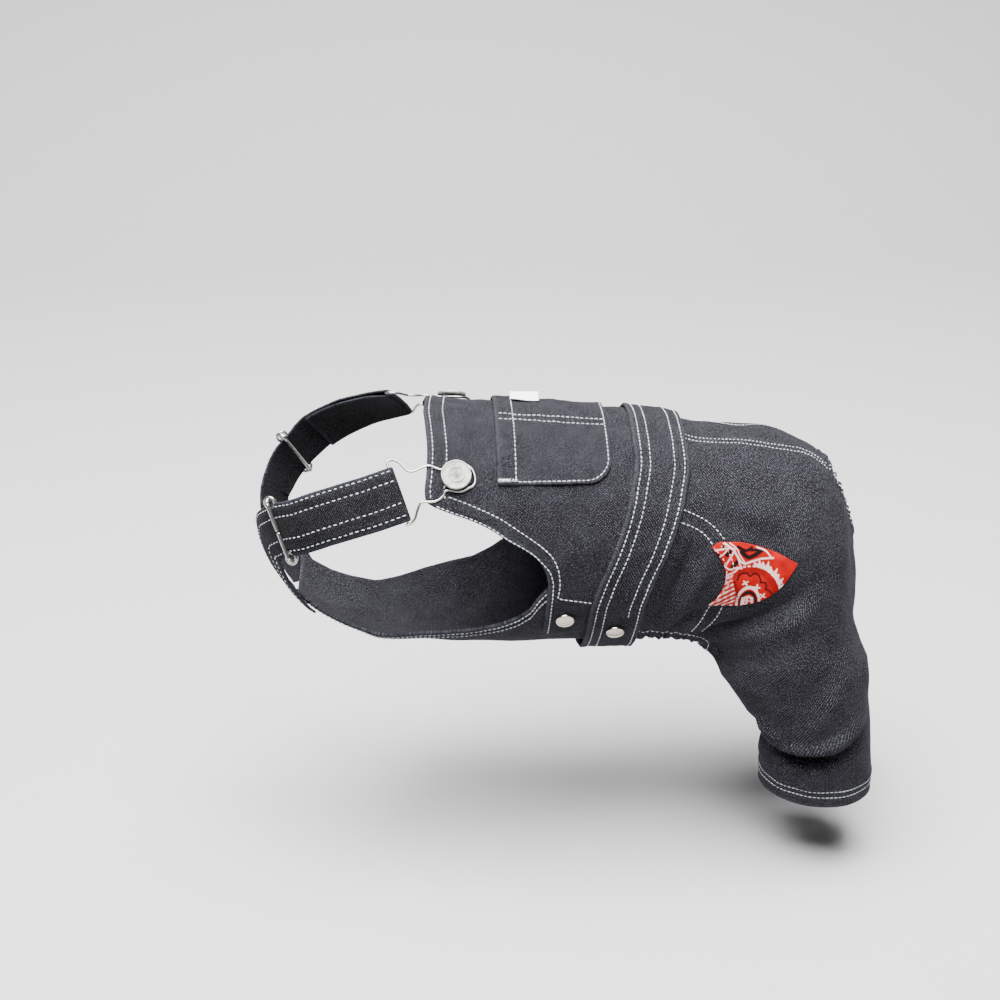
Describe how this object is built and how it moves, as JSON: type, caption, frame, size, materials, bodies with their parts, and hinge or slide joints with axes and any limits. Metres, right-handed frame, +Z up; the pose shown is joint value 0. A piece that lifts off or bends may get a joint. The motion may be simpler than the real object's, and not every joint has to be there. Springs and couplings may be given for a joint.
{
  "type": "dog jumpsuit",
  "caption": "Denim dungaree jumpsuit for a medium dog in its worn form, with a bib over the back, hooked straps and two hind legs.",
  "frame": {"origin": "on the dog's spine, under the middle of the waistband", "axes": "+X from the chest to the rump, along the back; +Y to the dog's right side; +Z up, away from the back"},
  "size_m": [0.3559, 0.1452, 0.2167],
  "materials": {
    "denim": "dark twill, matt",
    "patch_print": "printed cotton, matt",
    "label_cloth": "plain woven tape, matt",
    "wire": "plated wire, semi-gloss",
    "button_metal": "dull silver",
    "snap_metal": "pale plated, semi-gloss"
  },
  "bodies": {
    "root": {"back_bib": "denim", "bib_pocket": "denim", "pocket_label": "label_cloth", "waistband": "denim", "trousers": "denim", "belly_panel": "denim", "strap_left": "denim", "strap_right": "denim", "hip_patch_left": "patch_print", "hip_patch_right": "patch_print", "slider_left": "wire", "slider_right": "wire", "hook_left": "wire", "hook_right": "wire", "button_left": "button_metal", "button_right": "button_metal", "snap_front": "snap_metal", "snap_rear": "snap_metal"}
  },
  "joints": []
}
